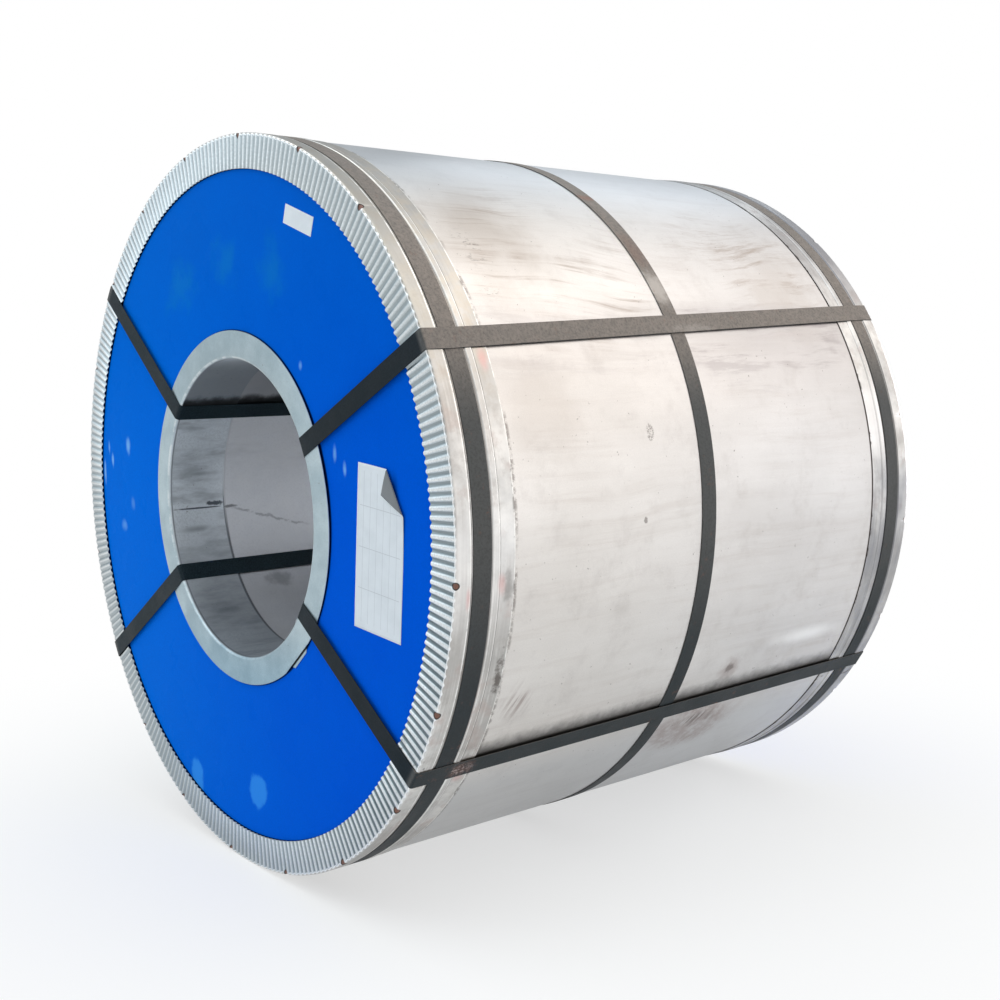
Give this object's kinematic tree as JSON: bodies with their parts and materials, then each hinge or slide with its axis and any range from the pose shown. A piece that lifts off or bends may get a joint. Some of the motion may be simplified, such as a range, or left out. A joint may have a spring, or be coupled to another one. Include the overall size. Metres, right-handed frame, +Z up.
{
  "type": "steel coil",
  "caption": "Packed coil of steel strip on its side, with sheet wrap, blue end discs, fluted edge rings, inner rings and dark steel straps.",
  "frame": {"origin": "on the floor, under the middle of the coil", "axes": "+Y along the coil's axis from the labelled front end to the back end, +Z up"},
  "size_m": [1.23, 1.0464, 1.23],
  "materials": {
    "strip_steel": "rolled steel strip, edges of the turns in the ends",
    "wrap_sheet": "thin zinc coated wrap sheet, wiped and lightly scratched",
    "blue_disc": "glossy blue plastic sheet with pale scuffs",
    "zinc_ring": "zinc coated rolled sheet",
    "steel_strap": "dark painted and waxed steel strap, worn in places",
    "label_paper": "plain white paper"
  },
  "bodies": {
    "root": {"steel_coil": "strip_steel", "outer_wrap_sheet": "wrap_sheet", "end_disc_front": "blue_disc", "end_disc_back": "blue_disc", "outer_edge_ring_front": "zinc_ring", "outer_edge_ring_back": "zinc_ring", "inner_edge_ring_front": "zinc_ring", "inner_edge_ring_back": "zinc_ring", "belt_strap_front": "steel_strap", "belt_strap_middle": "steel_strap", "belt_strap_back": "steel_strap", "eye_strap_upper_right": "steel_strap", "eye_strap_upper_left": "steel_strap", "eye_strap_lower_left": "steel_strap", "eye_strap_lower_right": "steel_strap", "coil_label": "label_paper", "tag_label": "label_paper"}
  },
  "joints": []
}
